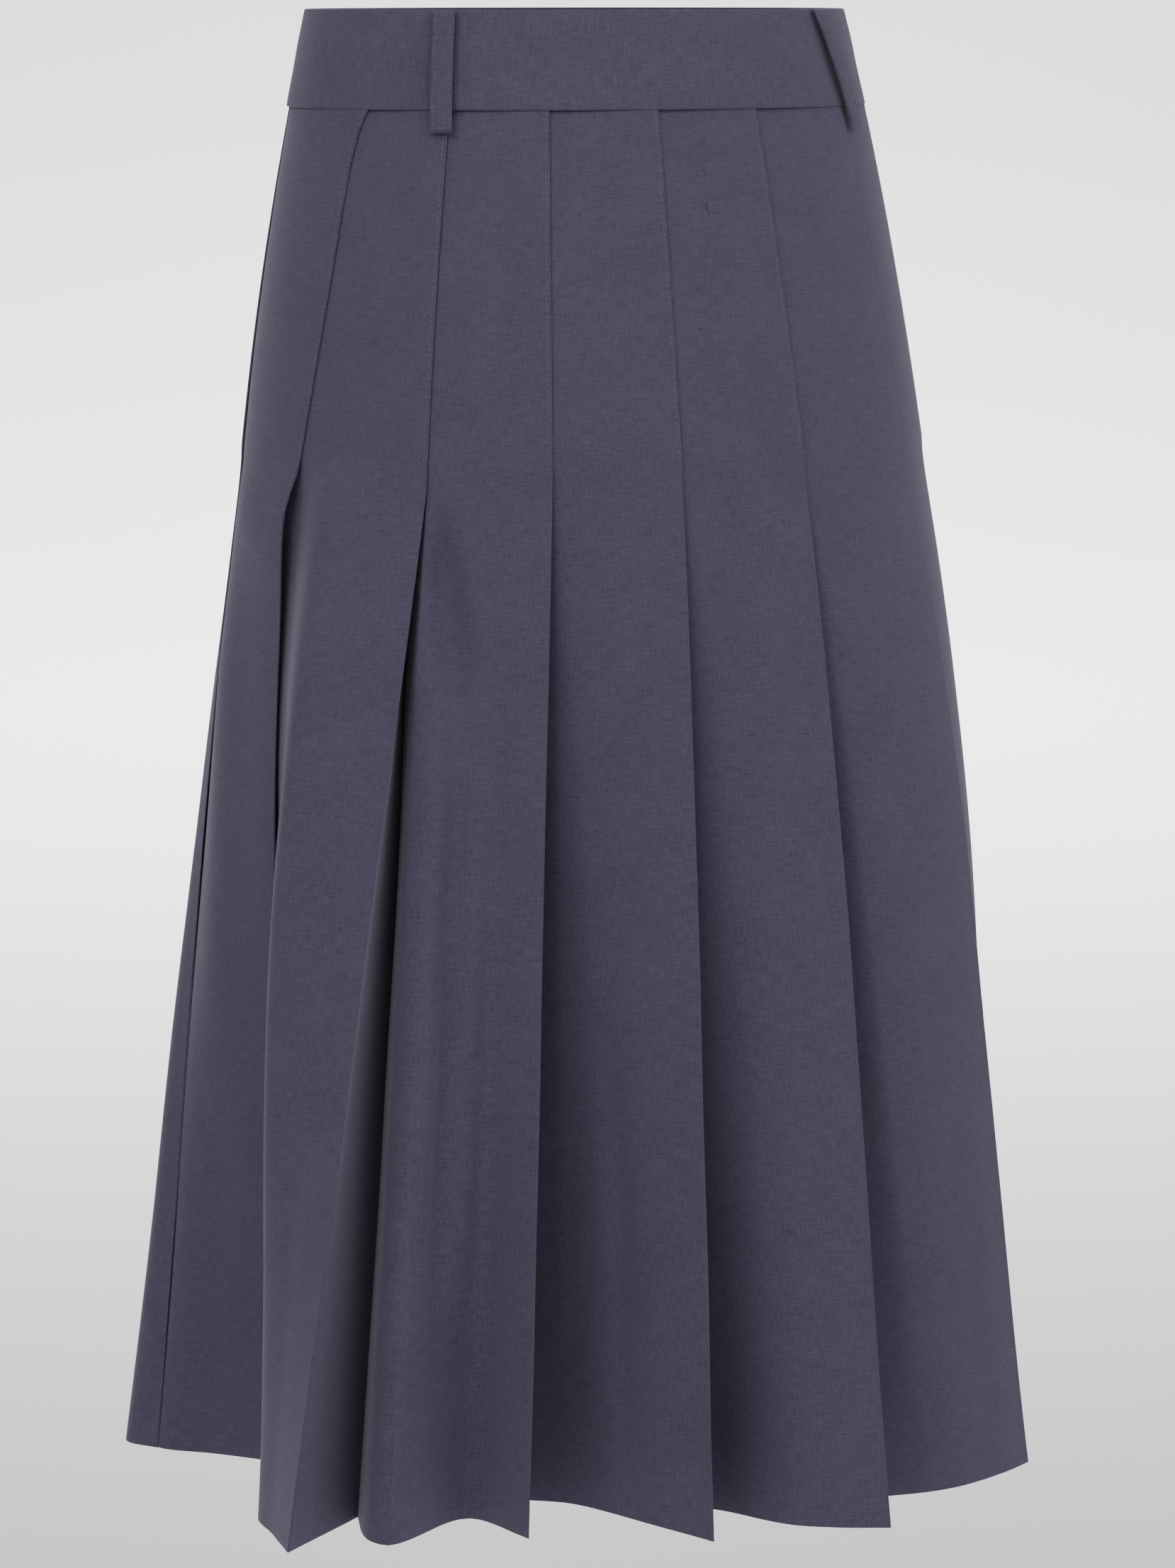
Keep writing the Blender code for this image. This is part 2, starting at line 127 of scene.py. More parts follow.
# Steps of the cloth's grid along one pleat, and the pitch of its rows
FACE_STEPS = 24
UNDERLAY_STEPS = 6
RETURN_STEPS = 6
FOLD_STEPS = 6
ROW_PITCH = 0.0080
STITCHED_ROW_PITCH = 0.0042
# Columns beside a pressed edge, by their distance from its fold. One of them carries the stitches.
EDGE_MARGINS = (0.0027, 0.0019, 0.0012, 0.0006)
STITCHED_MARGIN = 2
# A released fold is this share sharper at the hem than a pressed one
FOLD_SHARPENING = 0.3
# The cloth goes on a little way up inside the waistband
SEAM_ALLOWANCE = 0.0012

# The stitches pull a groove into the cloth, which fades out below the last one
STITCH_GROOVE = 0.00018
GROOVE_FADE = 0.004

# Pieces of cloth are slightly uneven: the noise's scales across and down, and its height. The pleats have a
# share of it where they are pressed, and all of it soon below the stitching.
UNEVEN_ACROSS = 18
UNEVEN_DOWN = 9
UNEVEN_HEIGHT = 0.0007
UNEVEN_PRESSED_SHARE = 0.35
UNEVEN_GAIN = 2
BAND_UNEVEN_ACROSS = 30
BAND_UNEVEN_DOWN = 45
BAND_UNEVEN_HEIGHT = 0.0005

# Soft folds where the panels hang unevenly, and drag wrinkles on the hip. Each belongs to the panel after a
# pleat's edge and runs from a share of that panel's width at one drop to another share at another drop.
# Width and height are millimetres.
Crease = namedtuple("Crease", "pleat top_at top_drop foot_at foot_drop width height")
CREASES = (
    Crease(1, 0.12, 0.219, 0.50, 0.290, 6.5, 2.6),
    Crease(1, 0.08, 0.228, 0.34, 0.340, 9.5, -6.5),
    Crease(1, 0.20, 0.300, 0.22, 0.600, 6.0, 2.8),
    Crease(1, 0.35, 0.300, 0.36, 0.690, 6.0, -3.4),
    Crease(1, 0.52, 0.330, 0.53, 0.660, 6.5, 2.4),
    Crease(2, 0.38, 0.500, 0.44, 0.715, 7.0, -2.2),
    Crease(3, 0.05, 0.078, 0.95, 0.073, 5.0, -1.6),
    Crease(3, 0.15, 0.096, 1.00, 0.092, 4.5, -2.0),
    Crease(4, 0.02, 0.104, 0.45, 0.099, 4.5, -1.7),
    Crease(13, 0.38, 0.235, 0.36, 0.560, 18.0, 4.5),
)
# Folds fade out beside a panel's knee and edge, and sink to a small share of their height at their own ends
CREASE_FADE = 0.10
CREASE_END = 0.30
CREASE_END_HEIGHT = 0.15

# A belt loop's place, and its angles at its two ends
BeltLoop = namedtuple("BeltLoop", "place top bottom")
BELT_LOOPS = (
    BeltLoop("front_left", -44.0, -43.0),
    BeltLoop("front_right", 44.5, 51.0),
    BeltLoop("back_right", 127.0, 129.0),
    BeltLoop("back_centre", 179.0, 179.2),
    BeltLoop("back_left", 227.0, 228.0),
)
# A loop is 2 mm shorter than its solid, like the waistband. It rises from its seat to its full height within
# a short shoulder at each end, and its seat comes a little nearer to the cloth at the lower end.
LOOP_WIDTH = 0.0105
LOOP_THICKNESS = 0.0016
LOOP_LENGTH = 0.0578
LOOP_RISE = 0.0023
LOOP_SHOULDER = 0.35
LOOP_SEAT = 0.0009
LOOP_SEAT_FALL = 0.0004
LOOP_STEPS = 44
LOOP_END_ROUND = 0.0009
# The end sections stop just short of the ends, where the rounding would close them to a line
LOOP_END_GAP = 0.00002
# The strap's section, as shares of its width and thickness: flat edges beside a groove for each stitch row
STRAP_SECTION = (
    (-0.50, 0.20), (-0.50, 0.70), (-0.46, 0.93), (-0.40, 0.97), (-0.345, 0.84), (-0.29, 0.99),
    (-0.15, 1.0), (0.0, 1.03), (0.15, 1.0),
    (0.29, 0.99), (0.345, 0.84), (0.40, 0.97), (0.46, 0.93), (0.50, 0.70), (0.50, 0.20),
    (0.45, 0.0), (0.0, 0.0), (-0.45, 0.0),
)
# The loops' rows of stitches lie in those grooves, at a share of the thickness
STITCH_ROWS = (-0.345, 0.345)
STITCH_ROW_LEVEL = 0.90

STITCH_LENGTH = 0.0021
STITCH_PITCH = 0.0027
THREAD_RADIUS = 0.00019
STITCH_SIDES = 6
# Shares along a stitch, with the thread's radius and its rise out of the cloth there, both as shares of the
# thread's full radius
STITCH_FORM = ((0.0, 0.25, -1.2), (0.12, 0.9, 0.1), (0.5, 1.0, 0.55), (0.88, 0.9, 0.1), (1.0, 0.25, -1.2))
# Where the rows of stitches start below the waistband, and where they start and stop on a belt loop
EDGE_STITCH_START = 0.0006
LOOP_STITCH_START = 0.0012
LOOP_STITCH_STOP = LOOP_LENGTH - 0.001
# A tack is two short rows across a loop. Their stitches share its width, with a gap beside each.
TACK_DROPS = (0.0022, 0.0551)
TACK_ROW_PITCH = 0.0005
TACK_STITCHES = 4
TACK_EDGE = -0.42
TACK_WIDTH = 0.84
TACK_STITCH_START = 0.02
TACK_STITCH_END = 0.19

# Edges with a sharper turn than this, in the pleated cloth and in the other pieces, aren't shaded smooth
CLOTH_SHARP_TURN = 50
LOFT_SHARP_TURN = 55


# Plan geometry

def oval_at(drop):
    """The pressed cloth's oval at a drop, on a smooth curve through those of the waist, high hip and hip."""
    low, high = HIGH_HIP, STITCH_END
    at_top = (drop - low) * (drop - high) / (low * high)
    at_high_hip = drop * (drop - high) / (low * (low - high))
    at_hip = drop * (drop - low) / (high * (high - low))
    return WAIST_OVAL * at_top + HIGH_HIP_OVAL * at_high_hip + HIP_OVAL * at_hip


def sway_at(drop):
    """How far the oval's centre lies aside at a drop."""
    return HIP_SWAY * (drop / STITCH_END)


def on_oval(angle, oval, inset=0.0):
    turned = math.radians(angle)
    return Vector(((oval.x - inset) * math.sin(turned), -(oval.y - inset) * math.cos(turned)))


def outward(angle, oval):
    """The way out of an oval, square to it."""
    turned = math.radians(angle)
    return Vector((math.sin(turned) / oval.x, -math.cos(turned) / oval.y)).normalized()


def onward(angle, oval):
    """The way on round an oval."""
    turned = math.radians(angle)
    return Vector((oval.x * math.cos(turned), oval.y * math.sin(turned))).normalized()


def right_of(direction):
    """The way to the right of a direction, seen from above."""
    return Vector((direction.y, -direction.x))


def smooth_curve(points, samples=16):
    """A smooth curve through a few points, as many short steps, with the step where it passes each point."""
    padded = [points[0] * 2 - points[1]] + list(points) + [points[-1] * 2 - points[-2]]
    curve = [points[0].copy()]
    passes = [0]
    for before, start, end, after in zip(padded, padded[1:], padded[2:], padded[3:]):
        span = (end - start).length
        into = (end - before) * span / ((start - before).length + span)
        out = (after - start) * span / ((after - end).length + span)
        for sample in range(1, samples + 1):
            t = sample / samples
            curve.append(
                start * (2 * t ** 3 - 3 * t ** 2 + 1) + into * (t ** 3 - 2 * t ** 2 + t)
                + end * (3 * t ** 2 - 2 * t ** 3) + out * (t ** 3 - t ** 2)
            )
        passes.append(len(curve) - 1)
    return curve, passes


def points_along(curve, shares):
    """Points at shares of a curve's length."""
    lengths = [0.0]
    for start, end in zip(curve, curve[1:]):
        lengths.append(lengths[-1] + (end - start).length)
    points = []
    piece = 0
    for share in shares:
        wanted = lengths[-1] * share
        while lengths[piece + 1] < wanted:
            piece += 1
        part = (wanted - lengths[piece]) / (lengths[piece + 1] - lengths[piece])
        points.append(curve[piece].lerp(curve[piece + 1], part))
    return points


def chord_form(points, start, end):
    """Each point's share of the way from start to end, and its height to the right of that way."""
    way = end - start
    out = right_of(way.normalized())
    return [((point - start).dot(way) / way.length_squared, (point - start).dot(out)) for point in points]


def along_chord(form, start, end):
    """Points with given shares and heights along the way from start to end."""
    out = right_of((end - start).normalized())
    return [start.lerp(end, share) + out * height for share, height in form]


def even_shares(steps):
    return [step / steps for step in range(1, steps)]


# Shares of the way along a pleat's back, its underlay and its face. The last of the face's even columns give
# way to the margins beside the edge.
RETURN_SHARES = even_shares(RETURN_STEPS)
UNDERLAY_SHARES = even_shares(UNDERLAY_STEPS)
FACE_SHARES = even_shares(FACE_STEPS)[:-1]


# The pressed pleats, from the waistband to the end of the stitching

def row(index):
    """A pleat's row in the table, which starts again where the numbers run on round the waist."""
    return PLEATS[index % len(PLEATS)]


def turns(index):
    return TURN * (index // len(PLEATS))


def line_angle(index, drop):
    """The angle of a pleat's stitched line."""
    share = (drop - BAND_DEPTH) / (STITCH_END - BAND_DEPTH)
    hook = row(index).hook * share / HOOK_AT * math.exp(1 - share / HOOK_AT)
    return row(index).seam + (row(index).hip - row(index).seam) * share - hook + turns(index)


def tuck_angle(index, drop):
    """The angle of a pleat's inner fold."""
    edge, before = line_angle(index, drop), line_angle(index - 1, drop)
    return edge - min((edge - before) * TUCK_SHARE, WIDEST_TUCK)


def pressed_layer(index, angle, level, drop):
    """A point in one of a pleat's layers, which slope inwards as they go back to the edge before."""
    edge, before = line_angle(index, drop), line_angle(index - 1, drop)
    slope = UNDERLAY_LEVEL * (edge - angle) / (edge - before)
    return on_oval(angle, oval_at(drop), (level + slope) * LAYER_PITCH) + sway_at(drop)


def pressed_stretch(index, start, end, level, shares, drop):
    """Points along one layer between two angles."""
    return [pressed_layer(index, start + (end - start) * share, level, drop) for share in shares]


def pressed_edge(index, drop):
    return pressed_layer(index, line_angle(index, drop), EDGE_LEVEL, drop)


def pressed_inner(index, drop):
    return pressed_layer(index, tuck_angle(index, drop), INNER_LEVEL, drop)


def pressed_knee(index, drop):
    return pressed_layer(index, line_angle(index, drop), UNDERLAY_LEVEL, drop)


def pressed_back(index, drop):
    edge, deep = line_angle(index, drop), tuck_angle(index, drop)
    return pressed_stretch(index, edge, deep, BACK_LEVEL, RETURN_SHARES, drop)


def pressed_underlay(index, drop):
    edge, deep = line_angle(index, drop), tuck_angle(index, drop)
    return pressed_stretch(index, deep, edge, UNDERLAY_LEVEL, UNDERLAY_SHARES, drop)


def pressed_face(index, drop):
    edge, following = line_angle(index, drop), line_angle(index + 1, drop)
    return pressed_stretch(index + 1, edge, following, FACE_LEVEL, FACE_SHARES, drop)


# The pleats at the hem

# The cloth from a pleat's inner fold to the next edge
Panel = namedtuple("Panel", "underlay knee face")


def swung_back(edge, angle, oval, lean, depth):
    """The end of a back of some depth, which goes in from an edge and leans back under its own panel."""
    lean = math.radians(lean)
    return edge - (outward(angle, oval) * math.cos(lean) + onward(angle, oval) * math.sin(lean)) * depth


def hem_edge(index):
    return on_oval(row(index).hem, HEM_OVAL * row(index).reach)


def hem_inner(index):
    return swung_back(hem_edge(index), row(index).hem, HEM_OVAL, row(index).lean, row(index).depth)


def hem_panel(index):
    pleat = row(index)
    stations = (
        (pleat.knee_at, pleat.knee / 1000),
        (pleat.ridge_at, pleat.ridge / 1000),
        (pleat.dip_at, pleat.dip / 1000),
    )
    start, end = hem_inner(index), hem_edge(index + 1)
    curve, passes = smooth_curve([start] + along_chord(stations, start, end) + [end])
    knee = passes[1]
    underlay = points_along(curve[:knee + 1], UNDERLAY_SHARES)
    return Panel(underlay, curve[knee], points_along(curve[knee:], FACE_SHARES))


HEM_PANELS = [hem_panel(index) for index in range(len(PLEATS))]


# The released pleats, from the end of the stitching to the hem

def opened_at(drop):
    """From 0 at the end of the stitching to 1 at the hem, starting softly."""
    way = max(0.0, (drop - STITCH_END) / (LENGTH - STITCH_END))
    late = SOFT_START * (1 - math.exp(-way / SOFT_START))
    return (way - late) / (1 - SOFT_START)


def delayed(opened, share):
    """The opening at a share of a panel's width: it lags towards the next edge and catches up at the hem."""
    lag = NEXT_EDGE_DELAY * share
    return max(0.0, opened - lag * (1 - opened))


def released_edge(index, drop):
    """A pleat's edge, without its spring."""
    opened = opened_at(drop)
    swell = outward(line_angle(index, STITCH_END), HIP_OVAL) * (row(index).swell / 1000)
    early = opened * (1 - opened) ** 2 / EARLY_PEAK
    return pressed_edge(index, STITCH_END).lerp(hem_edge(index), opened) + swell * early


def edge_at(index, drop):
    if drop <= STITCH_END:
        return pressed_edge(index, drop)
    opened = opened_at(drop)
    spring = outward(line_angle(index, STITCH_END), HIP_OVAL) * (row(index).spring / 1000)
    return released_edge(index, drop) + spring * (opened / SPRING_AT * math.exp(1 - opened / SPRING_AT))


def inner_at(index, drop):
    """A pleat's inner fold, whose back swings round and deepens while the pleat opens."""
    if drop <= STITCH_END:
        return pressed_inner(index, drop)
    opened = opened_at(drop)
    swung = opened ** row(index).swing
    back = pressed_edge(index, STITCH_END) - pressed_inner(index, STITCH_END)
    hip, hem = line_angle(index, STITCH_END), row(index).hem + turns(index)
    shut = math.degrees(math.atan2(back.dot(onward(hip, HIP_OVAL)), back.dot(outward(hip, HIP_OVAL))))
    return swung_back(
        edge_at(index, drop),
        hip + (hem - hip) * opened,
        HIP_OVAL.lerp(HEM_OVAL, opened),
        shut + (row(index).lean - shut) * swung,
        back.length + (row(index).depth - back.length) * opened,
    )


def sagged(point, index, drop):
    """A point of the underlay, which hangs in most just below the stitching."""
    opened = opened_at(drop)
    earliest = opened * (1 - opened) ** 5 / EARLIEST_PEAK
    return point - point.normalized() * (row(index).sag / 1000 * earliest)


def knee_at(index, drop):
    """Where the underlay ends and the face that shows begins."""
    if drop <= STITCH_END:
        return pressed_knee(index, drop)
    shut = pressed_knee(index, STITCH_END) - pressed_edge(index, STITCH_END)
    wide = HEM_PANELS[index % len(PLEATS)].knee - hem_edge(index)
    return sagged(released_edge(index, drop) + shut.lerp(wide, opened_at(drop)), index, drop)


def released(shut, wide, ends_shut, ends_wide, ends, openings):
    """A stretch of cloth between two ends, which bows less as when it is pressed and more as at the hem."""
    form = []
    shut_form, wide_form = chord_form(shut, *ends_shut), chord_form(wide, *ends_wide)
    for (share, height), (wide_share, wide_height), opening in zip(shut_form, wide_form, openings):
        form.append((share + (wide_share - share) * opening, height + (wide_height - height) * opening))
    return along_chord(form, *ends)


def back_at(index, drop):
    if drop <= STITCH_END:
        return pressed_back(index, drop)
    shut = pressed_back(index, STITCH_END)
    ends_shut = pressed_edge(index, STITCH_END), pressed_inner(index, STITCH_END)
    ends_wide = hem_edge(index), hem_inner(index)
    straight = [ends_wide[0].lerp(ends_wide[1], share) for share in RETURN_SHARES]
    ends = edge_at(index, drop), inner_at(index, drop)
    return released(shut, straight, ends_shut, ends_wide, ends, [opened_at(drop)] * len(shut))


def underlay_at(index, drop):
    if drop <= STITCH_END:
        return pressed_underlay(index, drop)
    panel = HEM_PANELS[index % len(PLEATS)]
    shut = pressed_underlay(index, STITCH_END)
    ends_shut = pressed_inner(index, STITCH_END), pressed_knee(index, STITCH_END)
    ends_wide = hem_inner(index), panel.knee
    ends = inner_at(index, drop), knee_at(index, drop)
    line = released(shut, panel.underlay, ends_shut, ends_wide, ends, [opened_at(drop)] * len(shut))
    return [sagged(point, index, drop) for point in line]


def face_at(index, drop):
    if drop <= STITCH_END:
        return pressed_face(index, drop)
    panel = HEM_PANELS[index % len(PLEATS)]
    shut = pressed_face(index, STITCH_END)
    ends_shut = pressed_knee(index, STITCH_END), pressed_edge(index + 1, STITCH_END)
    ends_wide = panel.knee, hem_edge(index + 1)
    ends = knee_at(index, drop), edge_at(index + 1, drop)
    opened = opened_at(drop)
    swelled = opened ** row(index).bloom + row(index).puff * opened * (1 - opened) ** 2 / EARLY_PEAK
    openings = [delayed(swelled, share) for share in FACE_SHARES]
    return released(shut, panel.face, ends_shut, ends_wide, ends, openings)


# The whole line of the cloth in plan

FOLD_MIDDLE = FOLD_STEPS // 2

# What each column of the grid is: the pleat whose panel it lies in, its share of that panel's face or None
# where it lies elsewhere, and whether it carries stitches
Column = namedtuple("Column", "pleat share stitched", defaults=(None, False))


def fold_arc(peak, before, after, opened):
    """A rounded fold: an arc from the cloth that arrives, over the fold's peak, to the cloth that leaves."""
    arriving = (before - peak).normalized()
    leaving = (after - peak).normalized()
    inwards = (arriving + leaving).normalized()
    side = Vector((-inwards.y, inwards.x))
    if side.dot(arriving - leaving) < 0:
        side = -side
    radius = LAYER_PITCH / 2 * (1 - FOLD_SHARPENING * opened)
    points = []
    for step in range(FOLD_STEPS + 1):
        turned = math.pi * step / FOLD_STEPS
        points.append(peak + inwards * radius * (1 - math.sin(turned)) + side * radius * math.cos(turned))
    return points


def edge_margins(last, shoulder):
    """Points at set distances before a pressed edge, the stitched one among them."""
    way = (last - shoulder).normalized()
    return [shoulder + way * distance for distance in EDGE_MARGINS]


def cloth_line(pleats, drop):
    """The middle of the cloth in plan, from the inner fold before the first pleat to that of the last one."""
    first, last = pleats[0] - 1, pleats[-1]
    opened = opened_at(drop)
    underlay, knee, face = underlay_at(first, drop), knee_at(first, drop), face_at(first, drop)
    fold = fold_arc(inner_at(first, drop), back_at(first, drop)[-1], underlay[0], opened)
    points = fold[FOLD_MIDDLE:] + underlay + [knee] + face
    for index in pleats:
        back = back_at(index, drop)
        edge = fold_arc(edge_at(index, drop), points[-1], back[0], opened)
        points += edge_margins(points[-1], edge[0]) + edge + back
        underlay, knee, face = underlay_at(index, drop), knee_at(index, drop), face_at(index, drop)
        fold = fold_arc(inner_at(index, drop), back[-1], underlay[0], opened)
        if index == last:
            points += fold[:FOLD_MIDDLE + 1]
        else:
            points += fold + underlay + [knee] + face
    return points


def panel_columns(index):
    underlay = [Column(index)] * len(UNDERLAY_SHARES)
    return underlay + [Column(index, 0.0)] + [Column(index, share) for share in FACE_SHARES]


def edge_columns(index):
    margins = [Column(index - 1, 1.0, place == STITCHED_MARGIN) for place in range(len(EDGE_MARGINS))]
    return margins + [Column(index)] * (FOLD_STEPS + 1 + len(RETURN_SHARES))


def columns_of(pleats):
    """What each point of cloth_line is, in the same order."""
    first, last = pleats[0] - 1, pleats[-1]
    columns = [Column(first)] * (FOLD_STEPS + 1 - FOLD_MIDDLE) + panel_columns(first)
    for index in pleats:
        columns += edge_columns(index)
        if index == last:
            columns += [Column(index)] * (FOLD_MIDDLE + 1)
        else:
            columns += [Column(index)] * (FOLD_STEPS + 1) + panel_columns(index)
    return columns


# Meshes

def linked(name, data):
    piece = bpy.data.objects.new(name, data)
    bpy.context.scene.collection.objects.link(piece)
    return piece


def mesh_piece(name, points, faces, material, uvs=None, sharp_turn=None):
    """A smooth mesh, with its cloth coordinates in metres for each corner of each face."""
    mesh = bpy.data.meshes.new(name)
    mesh.from_pydata(points, [], faces)
    if uvs is not None:
        mesh.uv_layers.new(name="cloth").data.foreach_set("uv", uvs)
    mesh.materials.append(material)
    mesh.shade_smooth()
    if sharp_turn is not None:
        mesh.set_sharp_from_angle(angle=math.radians(sharp_turn))
    return linked(name, mesh)


def smooth_step(low, high, value):
    t = np.clip((value - low) / (high - low), 0.0, 1.0)
    return t * t * (3 - 2 * t)


def grid_normals(grid):
    """Unit normals of a grid of points, facing out of the skirt."""
    down = np.gradient(grid, axis=0)
    along = np.gradient(grid, axis=1)
    normals = np.cross(down, along)
    return normals / np.linalg.norm(normals, axis=2, keepdims=True)


def softened(normals):
    """Normals averaged with their neighbours up and down, so that single rows don't show."""
    mixed = normals.copy()
    mixed[1:-1] = (normals[:-2] + normals[1:-1] * 2 + normals[2:]) / 4
    return mixed / np.linalg.norm(mixed, axis=2, keepdims=True)


def shell(name, grid, normals, thickness, uv, material):
    """A thin closed shell on both sides of a grid of points."""
    rows, columns = grid.shape[:2]
    outer = grid + normals * (thickness / 2)
    inner = grid - normals * (thickness / 2)
    points = np.concatenate((outer.reshape(-1, 3), inner.reshape(-1, 3)))
    count = rows * columns
    number = np.arange(count).reshape(rows, columns)
    corners = (number[:-1, :-1], number[1:, :-1], number[1:, 1:], number[:-1, 1:])
    quads = np.stack(corners, axis=-1).reshape(-1, 4)
    border = np.concatenate((number[0, :-1], number[:-1, -1], number[-1, :0:-1], number[:0:-1, 0]))
    following = np.roll(border, -1)
    rim = np.stack((border, following, following + count, border + count), axis=-1)
    faces = np.concatenate((quads, quads[:, ::-1] + count, rim))
    flat = np.concatenate((uv.reshape(-1, 2), uv.reshape(-1, 2)))
    uvs = flat[faces.reshape(-1)].astype(np.float32).reshape(-1)
    return mesh_piece(name, points.tolist(), faces.tolist(), material, uvs, CLOTH_SHARP_TURN)


def closed_loft(name, sections, uv_step, material, ring=False):
    """A closed form through sections of equally many points, which may run on round a ring."""
    rows, columns = len(sections), len(sections[0])
    points = [tuple(point) for section in sections for point in section]
    faces = []
    uvs = []
    round_trip = [0.0]
    for start, end in zip(sections[0], sections[0][1:] + sections[0][:1]):
        round_trip.append(round_trip[-1] + (end - start).length)
    for place in range(rows if ring else rows - 1):
        here, beyond = place * columns, (place + 1) % rows * columns
        start, end = place * uv_step, (place + 1) * uv_step
        for corner in range(columns):
            following = (corner + 1) % columns
            faces.append((here + corner, beyond + corner, beyond + following, here + following))
            near, far = round_trip[corner], round_trip[corner + 1]
            uvs += [(start, near), (end, near), (end, far), (start, far)]
    if not ring:
        faces.append(tuple(range(columns)))
        faces.append(tuple(reversed(range((rows - 1) * columns, rows * columns))))
        uvs += [(0.0, 0.0)] * (2 * columns)
    flat_uvs = [value for pair in uvs for value in pair]
    return mesh_piece(name, points, faces, material, flat_uvs, LOFT_SHARP_TURN)


# The pleated cloth

# One half of the skirt's cloth, with the grid that its stitches are set on
PleatedCloth = namedtuple("PleatedCloth", "piece grid normals columns drops")


def crease_height(column, widths, drops):
    """How far the soft folds push one column of the cloth out, at each drop."""
    height = np.zeros(len(drops))
    fade = smooth_step(0.0, CREASE_FADE, column.share) * (1 - smooth_step(1 - CREASE_FADE, 1.0, column.share))
    for crease in CREASES:
        if crease.pleat != column.pleat:
            continue
        across = (crease.foot_at - crease.top_at) * widths
        down = crease.foot_drop - crease.top_drop
        aside = (column.share - crease.top_at) * widths
        below = drops - crease.top_drop
        way = np.clip((aside * across + below * down) / (across ** 2 + down ** 2), 0.0, 1.0)
        off = np.hypot(aside - across * way, below - down * way) / (crease.width / 1000)
        ends = smooth_step(0.0, CREASE_END, way) * (1 - smooth_step(1 - CREASE_END, 1.0, way))
        part = CREASE_END_HEIGHT + (1 - CREASE_END_HEIGHT) * ends
        height += crease.height / 1000 * np.exp(-off * off) * part * fade
    return height


def worked_height(columns, drops, along):
    """How far the soft folds and the stitches' pull move each point of the grid out."""
    faces = {}
    for place, column in enumerate(columns):
        if column.share is not None:
            faces.setdefault(column.pleat, []).append(place)
    groove = STITCH_GROOVE * (1 - smooth_step(STITCH_END, STITCH_END + GROOVE_FADE, drops))
    height = np.zeros((len(drops), len(columns)))
    for place, column in enumerate(columns):
        if column.share is None:
            continue
        face = faces[column.pleat]
        height[:, place] = crease_height(column, along[:, face[-1]] - along[:, face[0]], drops)
        if column.stitched:
            height[:, place] -= groove
    return height


def uneven_height(grid, drops, seed):
    """The cloth's slight unevenness at each point of the grid, less where it is pressed."""
    height = np.zeros(grid.shape[:2])
    for level, drop in enumerate(drops):
        strength = min(1.0, UNEVEN_PRESSED_SHARE + opened_at(drop) * UNEVEN_GAIN)
        for place, (x, y, z) in enumerate(grid[level]):
            spot = Vector((x * UNEVEN_ACROSS, y * UNEVEN_ACROSS, z * UNEVEN_DOWN)) + Vector((seed, 0, 0))
            height[level, place] = noise.noise(spot) * UNEVEN_HEIGHT * strength
    return height


def row_drops():
    """The drops of the grid's rows, which lie closer where the cloth is stitched."""
    released_rows = round((LENGTH - STITCH_END) / ROW_PITCH)
    stitched_rows = round((STITCH_END - BAND_DEPTH) / STITCHED_ROW_PITCH)
    drops = [BAND_DEPTH - SEAM_ALLOWANCE]
    for step in range(1, stitched_rows):
        drops.append(BAND_DEPTH + (STITCH_END - BAND_DEPTH) * step / stitched_rows)
    for step in range(released_rows + 1):
        drops.append(STITCH_END + (LENGTH - STITCH_END) * step / released_rows)
    return np.array(drops)


def pleated_cloth(name, pleats, seed, material):
    """The cloth of some of the pleats, from the waistband to the hem."""
    drops = row_drops()
    columns = columns_of(pleats)
    plan = np.array([[tuple(point) for point in cloth_line(pleats, drop)] for drop in drops])
    down = np.broadcast_to(-drops[:, None], plan.shape[:2])
    grid = np.concatenate((plan, down[:, :, None]), axis=2)
    lengths = np.linalg.norm(np.diff(plan, axis=1), axis=2)
    along = np.concatenate((np.zeros((len(drops), 1)), np.cumsum(lengths, axis=1)), axis=1)
    height = worked_height(columns, drops, along) + uneven_height(grid, drops, seed)
    grid = grid + grid_normals(grid) * height[:, :, None]
    normals = softened(grid_normals(grid))
    # The weave runs straight down, at the spacing of the row half-way down
    across = np.broadcast_to(along[len(drops) // 2], along.shape)
    piece = shell(name, grid, normals, CLOTH_THICKNESS, np.stack((across, down), axis=2), material)
    return PleatedCloth(piece, grid, normals, columns, drops)


# The waistband and the belt loops

def rounded_corner(centre_drop, centre_inset, start):
    """A quarter of a circle, as drops and insets, from an angle on."""
    corner = []
    for step in range(BAND_CORNER_STEPS + 1):
        turned = math.radians(start + 90 * step / BAND_CORNER_STEPS)
        down, inwards = BAND_ROUND * math.sin(turned), BAND_ROUND * math.cos(turned)
        corner.append((centre_drop + down, centre_inset + inwards))
    return corner


def band_profile():
    """Drops and insets round the waistband's section: up its outside, over the fold and down its inside."""
    outside, inside = -BAND_PROUD, BAND_WALL - BAND_PROUD
    top, bottom = BAND_ROUND, BAND_DEPTH - BAND_ROUND
    up = [(BAND_DEPTH * (1 - share), outside) for share in even_shares(BAND_STEPS)]
    down = [(BAND_DEPTH * share, inside) for share in even_shares(BAND_STEPS)]
    return (
        rounded_corner(bottom, outside + BAND_ROUND, 90) + up
        + rounded_corner(top, outside + BAND_ROUND, 180)
        + rounded_corner(top, inside - BAND_ROUND, 270) + down
        + rounded_corner(bottom, inside - BAND_ROUND, 0)
    )


